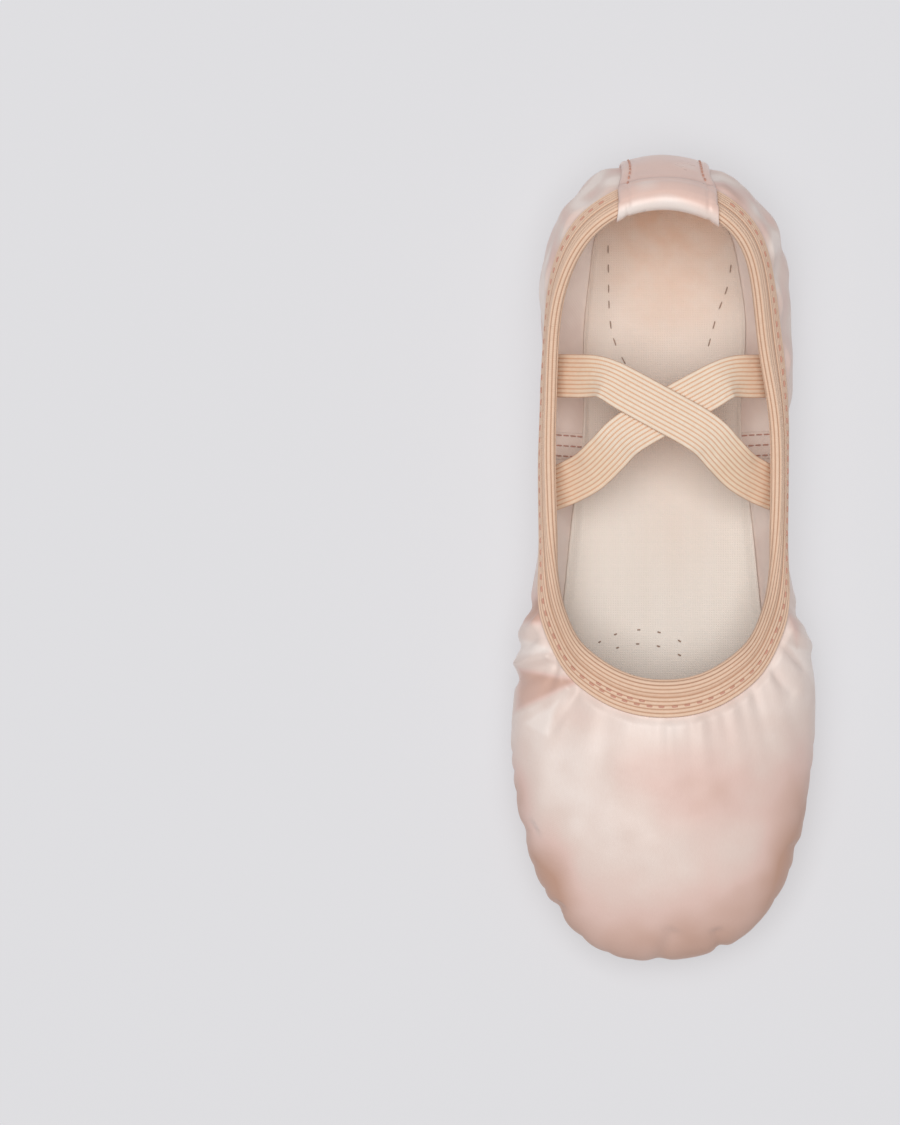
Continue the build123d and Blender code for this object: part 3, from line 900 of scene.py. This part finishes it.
def build_strap(name, mirror, drop, sizes, nodes):
    """One ribbed strap, from the wall over its kink and across to the far wall."""
    line, along = open_spline(np.array(STRAP_LINE) * MM * (mirror, 1, 1) - (0, 0, drop), 170)
    tangent = unit(np.gradient(line, axis=0))
    side = unit(np.cross(np.array([0.0, 0.0, 1.0]), tangent))
    normal = np.cross(tangent, side)
    across, rise, crest = ribs(sizes.strap_width, sizes.strap_width / 10, 0.26 * MM)
    flat = np.linspace(sizes.strap_width, 0, 12)
    x = np.concatenate([across, flat]) - sizes.strap_width / 2
    z = np.concatenate([rise, np.full(12, -0.5 * MM)])
    z[-12:] -= 0.12 * MM * np.cos(np.linspace(0, 20, 12))
    rib = np.concatenate([crest, np.full(12, 0.4)])
    pinch = 1 - 0.06 * bell(along, 20 * MM, 4 * MM)  # at the kink over the rear end
    cup = 0.35 * MM * (x / (sizes.strap_width / 2)) ** 2
    points = (line[:, None, :] + side[:, None, :] * (x[None, :] * pinch[:, None])[..., None]
              + normal[:, None, :] * (z - cup)[None, :, None])
    # Painted light: the high middle of each strap, which faces the light, is marked in the stretch values for
    # the lighter crest colour.
    middle = smoothstep(28.5 * MM - drop, 32 * MM - drop, line[:, 2])
    values = {"rib": np.tile(rib, (len(line), 1)), "stretch": np.repeat(middle[:, None], len(x), 1)}
    piece = grid_object(name, points, tube=True, size=(along[-1], 0.021), values=values)
    piece.data.materials.append(finish_for("strap"))
    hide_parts(*nodes)
    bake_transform(piece)


def plate(name, outline, low, high, rounding, rings=26, top=None):
    """A thin closed layer under the foot, with a soft rounded edge; top gives its rise near the edge."""
    centre = outline.mean(0)
    far = np.linalg.norm(outline - centre, axis=1)
    inner = centre + (outline - centre) * (1 - rounding / far)[:, None]
    shares = np.linspace(0, 1, rings) ** 0.8
    layers = []
    for share in shares:
        plan = centre + (inner - centre) * share
        points = np.column_stack([plan, np.full(len(plan), high)])
        if top is not None:
            points[:, 2] += top(points, far * (1 - share))
        layers.append(points)
    raised = layers[-1][:, 2]
    for angle in np.linspace(0, math.pi, 7)[1:-1]:
        plan = inner + (outline - inner) * math.sin(angle)
        layers.append(np.column_stack([plan, low + (raised - low) * (1 + math.cos(angle)) / 2]))
    for share in shares[::-1]:
        plan = centre + (inner - centre) * share
        layers.append(np.column_stack([plan, np.full(len(plan), low)]))
    return weld(grid_object(name, np.stack(layers, 1), close_rows=True, size=(0.4, 0.1)))


def weld(piece):
    """Joins the points that meet in the middle."""
    modifier = piece.modifiers.new("Weld", "WELD")
    modifier.merge_threshold = 0.03 * MM
    return apply_modifier(piece, modifier)


def layer_outline(z, gap, count=360):
    """The plan of the inside of the wall at a height, drawn in by a gap."""
    t = (BULGE_Z - z) / (BULGE_Z - CLOTH_Z)
    line = form.below(t) + form.inward * gap
    step = np.linspace(0, len(line), count, endpoint=False).astype(int)
    return line[step]


def patch_outline(limit_y, bow_y, inset):
    """The outline of a suede patch: the edge of the sole up to a limit, closed by a curve across the arch."""
    line = form.below(1.0) + form.inward * inset
    keep = (line[:, 1] - limit_y) * (bow_y - limit_y) < 0
    start = np.where(keep & ~np.roll(keep, 1))[0][0]
    edge = np.roll(line, -start, 0)[: keep.sum()]
    t = np.linspace(0, 1, 60)[1:-1, None]
    chord = (edge[-1] + edge[0]) / 2
    middle = chord + 2 * (np.array([chord[0], bow_y]) - chord)
    across = (1 - t) ** 2 * edge[-1] + 2 * t * (1 - t) * middle + t**2 * edge[0]
    ring = np.vstack([edge, across, edge[:1]])
    far = np.append(0, np.cumsum(np.linalg.norm(np.diff(ring, axis=0), axis=1)))
    at = np.linspace(0, far[-1], 300, endpoint=False)
    ring = np.stack([np.interp(at, far, ring[:, k]) for k in range(2)], 1)
    for _ in range(12):
        ring = (np.roll(ring, 1, 0) + 2 * ring + np.roll(ring, -1, 0)) / 4
    return ring


def shrink(ring, amount):
    """A closed outline drawn in by an amount."""
    along = unit(np.roll(ring, -1, 0) - np.roll(ring, 1, 0))
    inward = np.stack([-along[:, 1], along[:, 0]], 1)
    return ring + inward * amount


# Where wear has warmed the sock and where shade is painted on it: centre, half widths and strength, in
# millimetres.
SOCK_WEAR_AND_SHADE = (
    (0, 86, 26, 13, 0.95), (2, 64, 18, 14, 0.48), (0, 26, 13, 9, 0.2),
    (-19, 60, 3, 30, 0.2), (4, 8, 9, 12, 0.12),
)


def build_insole(sizes):
    """Padding under the foot and the canvas sock that covers it."""
    low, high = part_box("heel_insole_foam")[0][2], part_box("heel_sock")[0][2]
    ring = layer_outline(low + 1 * MM, WALL + 0.5 * MM)
    foam = plate("insole_padding", ring, low, high, 0.8 * MM)
    wear(foam, finish_for("padding"), ["forefoot_insole_foam", "heel_insole_foam"])
    ring = layer_outline(high + 0.6 * MM, WALL + 0.35 * MM)

    def swell(points, gap):
        lift = (0.30 + soft_noise(points, 30 * MM, 21) * 0.35 + soft_noise(points, 8 * MM, 22) * 0.10) * MM
        curl = (0.9 + 0.35 * soft_noise(points, 10 * MM, 23)) * MM
        return lift + curl * (1 - smoothstep(0, 2.6 * MM, gap))

    sock = plate("sock", ring, high, high + sizes.sock_thickness, 0.3 * MM, 48, swell)
    points = np.array([v.co for v in sock.data.vertices]) / MM
    # Marks of wear and painted shade on the sock.
    value = np.zeros(len(points))
    for x, y, wide, long, strength in SOCK_WEAR_AND_SHADE:
        value += strength * bell(points[:, 0], x, wide) * bell(points[:, 1], y, long)
    sock.data.attributes.new("mark", "FLOAT", "POINT").data.foreach_set("value", value.astype(np.float32))
    wear(sock, finish_for("sock"), ["forefoot_sock", "heel_sock"])


# Where the thread of the heel patch shows on the sock, in millimetres.
HEEL_STITCH_LINES = (
    ((-12.6, 75.0), (-12.5, 66.0), (-12.2, 57.0), (-11.0, 51.0), (-7.4, 43.8)),
    ((16.4, 70.0), (15.4, 64.0), (13.0, 57.5), (11.2, 51.0), (9.6, 45.0)),
)


def build_sock_stitching():
    """Dark ends of the thread that holds the patches, where it shows on the sock: their dark colour paints
    the shade of the sunken stitches and their holes.
    """
    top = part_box("heel_sock")[1][2] + 0.42 * MM
    made = []
    for row in range(2):
        apex, half_width = (-16.5 - 3.3 * row) * MM, 17 * MM
        x = np.linspace(-half_width, half_width * 0.55, 60)
        y = apex - 9 * MM * ((x + 5 * MM) / half_width) ** 2
        line = np.stack([x, y, np.full(60, top)], 1)
        up = np.tile((0.0, 0.0, 1.0), (60, 1))
        made += row_of_stitches(line, up, 5.0 * MM, 0.9 * MM, 0.17 * MM, 0.5 * MM, 31 + row)
    for seed, points in enumerate(HEEL_STITCH_LINES):
        line, _ = open_spline(np.array([(x, y, 0.0) for x, y in points]) * MM + (0, 0, top), 90)
        up = np.tile((0.0, 0.0, 1.0), (90, 1))
        made += row_of_stitches(line, up, 4.4 * MM, 1.9 * MM, 0.13 * MM, 0.5 * MM, 33 + seed)
    piece = join_meshes("sock_stitching", made)
    wear(piece, finish_for("sock_stitch_shade_thread"), ["forefoot_patch_stitching", "heel_patch_stitching"])


def build_sole():
    """The satin that shows between the two suede patches, and the patches with their stitching."""
    cloth_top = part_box("heel_insole_foam")[0][2]
    ring = form.below(1.0)[::3] + form.inward[::3] * 5 * MM
    cloth = plate("sole_cloth", ring, CLOTH_Z + 0.05 * MM, cloth_top, 0.4 * MM)
    wear(cloth, finish_for("satin"), ["forefoot_sole_cloth", "heel_sole_cloth"])
    for name, at_toe, insets in (("forefoot", True, (2.0, 5.2)), ("heel", False, (2.0,))):
        low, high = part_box(f"{name}_patch")
        bow_y = high[1] if at_toe else low[1]
        limit_y = bow_y - 8 * MM if at_toe else bow_y + 5 * MM
        ring = patch_outline(limit_y, bow_y, 0.6 * MM)
        piece = plate(f"{name}_suede", ring, SOLE_GAP, high[2] + 0.15 * MM, 0.5 * MM, 30)
        wear(piece, finish_for("suede"), [f"{name}_patch"], name)
        made = []
        for inset in insets:
            line = shrink(ring, inset * MM)
            line = np.column_stack([np.vstack([line, line[:1]]), np.full(len(line) + 1, SOLE_GAP)])
            down = np.tile((0.0, 0.0, -1.0), (len(line), 1))
            made += row_of_stitches(line, down, 3.0 * MM, 1.9 * MM, 0.12 * MM)
        stitching = join_meshes(f"{name}_patch_thread", made)
        wear(stitching, finish_for("pink_thread"), [], name)


def build_straps(sizes):
    """Both straps; the over strap starts at the left of the heel and the under strap at its right."""
    for name, mirror, drop in (("under", -1, 1.25 * MM), ("over", 1, 0.0)):
        nodes = [f"{name}_strap_span"]
        nodes += [f"{name}_strap_{end}_{part}" for end in ("rear", "front") for part in ("leg", "tab")]
        build_strap(f"{name}_strap", mirror, drop, sizes, nodes)


# Colours and sizes that a user may change --------------------------------------------------------

def length_property(name, description, default, low=0.0):
    return bpy.props.FloatProperty(name=name, description=description, default=default,
                                   min=low, unit="LENGTH")


def colour_property(name, description, default):
    return bpy.props.FloatVectorProperty(name=name, description=description, default=default,
                                         min=0.0, max=1.0, size=3, subtype="COLOR")


class SlipperSizes(bpy.types.PropertyGroup):
    """Sizes of the cloth, the elastic and the stitching."""

    satin_thickness: length_property("Satin", "Thickness of the satin", 0.6 * MM)
    binding_width: length_property("Binding width", "Width of the elastic outside the opening", 7.3 * MM)
    binding_stitch_inset: length_property("Binding stitching", "From the outer edge to its row", 2.45 * MM)
    rib_pitch: length_property("Rib pitch", "Distance between the cords of the binding", 0.95 * MM)
    strap_width: length_property("Strap width", "Width of the crossed straps", 10 * MM)
    heel_strip_width: length_property("Heel strip width", "Width of the satin strip over the heel", 23 * MM)
    sock_thickness: length_property("Sock", "Thickness of the canvas sock", 0.6 * MM)


class SlipperColours(bpy.types.PropertyGroup):
    """Colours of the materials, as linear values."""

    # The first satin colour is a painted highlight, and the deep satin and the satin at the sole are painted
    # shade.
    satin_painted_highlight: colour_property("Satin painted highlight", "Satin that faces the light", (0.97, 0.87, 0.82))
    satin_pale: colour_property("Satin", "Smooth satin", (0.86, 0.72, 0.66))
    satin_deep: colour_property("Deep satin", "Satin away from the light", (0.83, 0.61, 0.55))
    satin_shaded_rim: colour_property("Satin at the sole", "Satin where it turns under the foot", (0.60, 0.36, 0.27))
    lining_pale: colour_property("Lining", "Cotton lining", (1.0, 0.90, 0.84))
    strip_pale: colour_property("Heel strip", "Satin strip over the heel", (0.90, 0.65, 0.57))
    # The groove colours are partly the elastic's own deeper colour and partly painted shade between the
    # cords.
    binding_crest: colour_property("Binding", "Crests of the elastic binding", (0.95, 0.70, 0.53))
    binding_groove: colour_property("Binding grooves", "Between the cords of the binding", (0.58, 0.32, 0.20))
    strap_crest: colour_property("Strap", "Crests of the straps", (1.0, 0.83, 0.65))
    # The next colour is painted light: the high middles of the straps, where they face the light, are painted
    # paler.
    strap_painted_lit: colour_property("Strap painted lit", "Straps pulled over the foot", (0.95, 0.84, 0.70))
    strap_groove: colour_property("Strap grooves", "Between the cords of the straps", (0.78, 0.44, 0.26))
    canvas_pale: colour_property("Sock", "Cotton canvas sock", (0.86, 0.80, 0.74))
    canvas_shade: colour_property("Sock marks", "Soft marks on the sock", (0.76, 0.66, 0.56))
    # The next colour paints both wear and shade on the sock.
    canvas_wear_and_shade: colour_property("Worn and shaded sock", "Sock where the foot has warmed it", (0.80, 0.54, 0.40))
    suede_pale: colour_property("Suede", "Brushed suede of the patches", (0.56, 0.36, 0.27))
    suede_deep: colour_property("Worn suede", "Suede rubbed by the floor", (0.36, 0.22, 0.16))
    thread_pink: colour_property("Thread", "Pink sewing thread", (0.72, 0.34, 0.28))
    # The next colour is painted shade: the dashes on the sock stand for sunken stitches and their holes.
    sock_stitch_shade: colour_property("Patch stitch shade", "Thread ends on the sock", (0.34, 0.25, 0.19))


class SlipperStage(bpy.types.PropertyGroup):
    """Floor, lights and camera."""

    lens: bpy.props.FloatProperty(name="Lens", description="Focal length", default=180.0,
                                  min=10.0, unit="CAMERA")
    camera_height: length_property("Camera height", "Height of the camera above the floor", 1.326)
    camera_x: length_property("Camera X", "Place of the camera across the slipper", -49.7 * MM, -1.0)
    camera_y: length_property("Camera Y", "Place of the camera along the slipper", -0.7 * MM, -1.0)
    softbox_power: bpy.props.FloatProperty(name="Softbox", description="Power of the light overhead",
                                           default=21.0, min=0.0, unit="POWER")
    softbox_size: length_property("Softbox size", "Side of the square light", 1.2)
    room_light: bpy.props.FloatProperty(name="Room", description="Brightness of the plain surroundings",
                                        default=0.24, min=0.0)


RECIPES = {
    "satin": lambda name, c: satin(name, c.satin_painted_highlight, c.satin_pale, c.satin_deep, c.satin_shaded_rim),
    "strip": lambda name, c: satin(name, c.satin_painted_highlight, c.strip_pale, c.satin_deep, c.satin_shaded_rim, 0.27),
    "lining": lambda name, c: lining_cloth(name, c.lining_pale, c.satin_pale),
    "binding": lambda name, c: ribbed_elastic(name, c.binding_crest, c.binding_groove),
    "strap": lambda name, c: ribbed_elastic(name, c.strap_crest, c.strap_groove, c.strap_painted_lit),
    "sock": lambda name, c: cotton_canvas(name, c.canvas_pale, c.canvas_shade, c.canvas_wear_and_shade),
    "padding": lambda name, c: padding(name, c.canvas_pale, c.canvas_shade),
    "suede": lambda name, c: suede(name, c.suede_pale, c.suede_deep),
    "pink_thread": lambda name, c: thread_finish(name, c.thread_pink, c.binding_groove),
    "rose_thread": lambda name, c: thread_finish(name, c.thread_pink, c.suede_deep),
    "sock_stitch_shade_thread": lambda name, c: thread_finish(name, c.sock_stitch_shade, c.suede_deep),
}


def finish_for(name):
    """The material of this name, made on first use from the colours in the scene.

    The names have a prefix because the frame brings plain materials of its own with names like satin.
    """
    full_name = f"slipper_{name}"
    made = bpy.data.materials.get(full_name)
    return made or RECIPES[name](full_name, bpy.context.scene.slipper_colours)


# Stage --------------------------------------------------------------------------------------------

def build_floor():
    """A pale floor that glows a little, as over a light table, so that shadows stay faint."""
    reach = np.linspace(-4, 4, 9)
    floor = grid_object("floor", np.array([[[x, y, 0.0] for y in reach] for x in reach]))
    floor.location.z = -0.05 * MM
    plaster = Finish("pale_floor", 0.9, Specular_IOR_Level=0.1)
    tone = plaster.noise(3, 2.0)
    plaster.color(plaster.ramp(tone, (0.3, (0.300, 0.297, 0.306)), (0.7, (0.304, 0.301, 0.310))))
    plaster.shader.inputs["Emission Color"].default_value = (0.965, 0.97, 1.0, 1.0)
    plaster.shader.inputs["Emission Strength"].default_value = 0.47
    floor.data.materials.append(plaster.material)


def build_lights(stage):
    """One large soft light overhead, and even light from the plain surroundings."""
    world = bpy.data.worlds.new("room")
    bpy.context.scene.world = world
    world.use_nodes = True
    room = world.node_tree.nodes["Background"]
    room.inputs["Color"].default_value = (1.0, 0.955, 0.925, 1)
    room.inputs["Strength"].default_value = stage.room_light
    light = bpy.data.lights.new("softbox", "AREA")
    light.energy, light.size = stage.softbox_power, stage.softbox_size
    softbox = link(bpy.data.objects.new("softbox", light))
    softbox.location = (-0.12, 0.06, 1.6)
    softbox.rotation_euler = (-softbox.location).to_track_quat("-Z", "Y").to_euler()


def build_camera(stage):
    """A camera that looks straight down."""
    camera = bpy.data.cameras.new("camera")
    camera.lens, camera.sensor_width = stage.lens, 36.0
    camera.clip_start = 0.05
    eye = link(bpy.data.objects.new("camera", camera))
    eye.location = (stage.camera_x, stage.camera_y, stage.camera_height)
    bpy.context.scene.camera = eye
    bpy.context.scene.view_settings.view_transform = "Standard"


# Operators ----------------------------------------------------------------------------------------

class SLIPPER_OT_stage(bpy.types.Operator):
    """Make the floor, the lights and the camera"""

    bl_idname = "slipper.stage"
    bl_label = "Stage"

    def execute(self, context):
        stage = context.scene.slipper_stage
        build_floor()
        build_lights(stage)
        build_camera(stage)
        return {"FINISHED"}


class SLIPPER_OT_upper(bpy.types.Operator):
    """Make the satin vamp and quarters and their cotton lining"""

    bl_idname = "slipper.upper"
    bl_label = "Upper and lining"

    def execute(self, context):
        build_upper(context.scene.slipper_sizes)
        return {"FINISHED"}


class SLIPPER_OT_side_seams(bpy.types.Operator):
    """Make the stitched seam allowances inside both walls"""

    bl_idname = "slipper.side_seams"
    bl_label = "Side seams"

    def execute(self, context):
        build_side_seams(context.scene.slipper_sizes)
        return {"FINISHED"}


class SLIPPER_OT_binding(bpy.types.Operator):
    """Make the ribbed elastic round the foot opening and its stitching"""

    bl_idname = "slipper.binding"
    bl_label = "Binding"

    def execute(self, context):
        build_binding(context.scene.slipper_sizes)
        build_binding_stitching(context.scene.slipper_sizes)
        return {"FINISHED"}


class SLIPPER_OT_heel_strip(bpy.types.Operator):
    """Make the satin strip folded over the back of the opening"""

    bl_idname = "slipper.heel_strip"
    bl_label = "Heel strip"

    def execute(self, context):
        build_heel_strip(context.scene.slipper_sizes)
        return {"FINISHED"}


class SLIPPER_OT_straps(bpy.types.Operator):
    """Make the two crossed elastic straps"""

    bl_idname = "slipper.straps"
    bl_label = "Crossed straps"

    def execute(self, context):
        build_straps(context.scene.slipper_sizes)
        return {"FINISHED"}


class SLIPPER_OT_insole(bpy.types.Operator):
    """Make the padding, the canvas sock and the thread that shows on it"""

    bl_idname = "slipper.insole"
    bl_label = "Insole"

    def execute(self, context):
        build_insole(context.scene.slipper_sizes)
        build_sock_stitching()
        return {"FINISHED"}


class SLIPPER_OT_sole(bpy.types.Operator):
    """Make the sole cloth and the two stitched suede patches"""

    bl_idname = "slipper.sole"
    bl_label = "Split sole"

    def execute(self, context):
        build_sole()
        return {"FINISHED"}


OPERATORS = (SLIPPER_OT_stage, SLIPPER_OT_upper, SLIPPER_OT_side_seams, SLIPPER_OT_binding,
             SLIPPER_OT_heel_strip, SLIPPER_OT_straps, SLIPPER_OT_insole, SLIPPER_OT_sole)


class SLIPPER_PT_panel(bpy.types.Panel):
    """Lists the slipper's pieces in the sidebar"""

    bl_idname = "SLIPPER_PT_panel"
    bl_label = "Ballet Slipper"
    bl_space_type = "VIEW_3D"
    bl_region_type = "UI"
    bl_category = "Slipper"

    def draw(self, context):
        for operator in OPERATORS:
            self.layout.operator(operator.bl_idname, text=operator.bl_label)
        for group in (getattr(context.scene, name) for name in GROUPS):
            box = self.layout.box()
            for name in group.bl_rna.properties.keys():
                if name not in ("rna_type", "name"):
                    box.prop(group, name)


GROUPS = {"slipper_sizes": SlipperSizes, "slipper_colours": SlipperColours, "slipper_stage": SlipperStage}


def register():
    for kind in (*GROUPS.values(), *OPERATORS, SLIPPER_PT_panel):
        bpy.utils.register_class(kind)
    for name, group in GROUPS.items():
        setattr(bpy.types.Scene, name, bpy.props.PointerProperty(type=group))


def unregister():
    for name in GROUPS:
        delattr(bpy.types.Scene, name)
    for kind in reversed((*GROUPS.values(), *OPERATORS, SLIPPER_PT_panel)):
        bpy.utils.unregister_class(kind)


def main():
    register()
    bpy.ops.slipper.stage()
    bpy.ops.slipper.upper()
    bpy.ops.slipper.side_seams()
    bpy.ops.slipper.binding()
    bpy.ops.slipper.heel_strip()
    bpy.ops.slipper.straps()
    bpy.ops.slipper.insole()
    bpy.ops.slipper.sole()


if __name__ == "__main__":
    main()
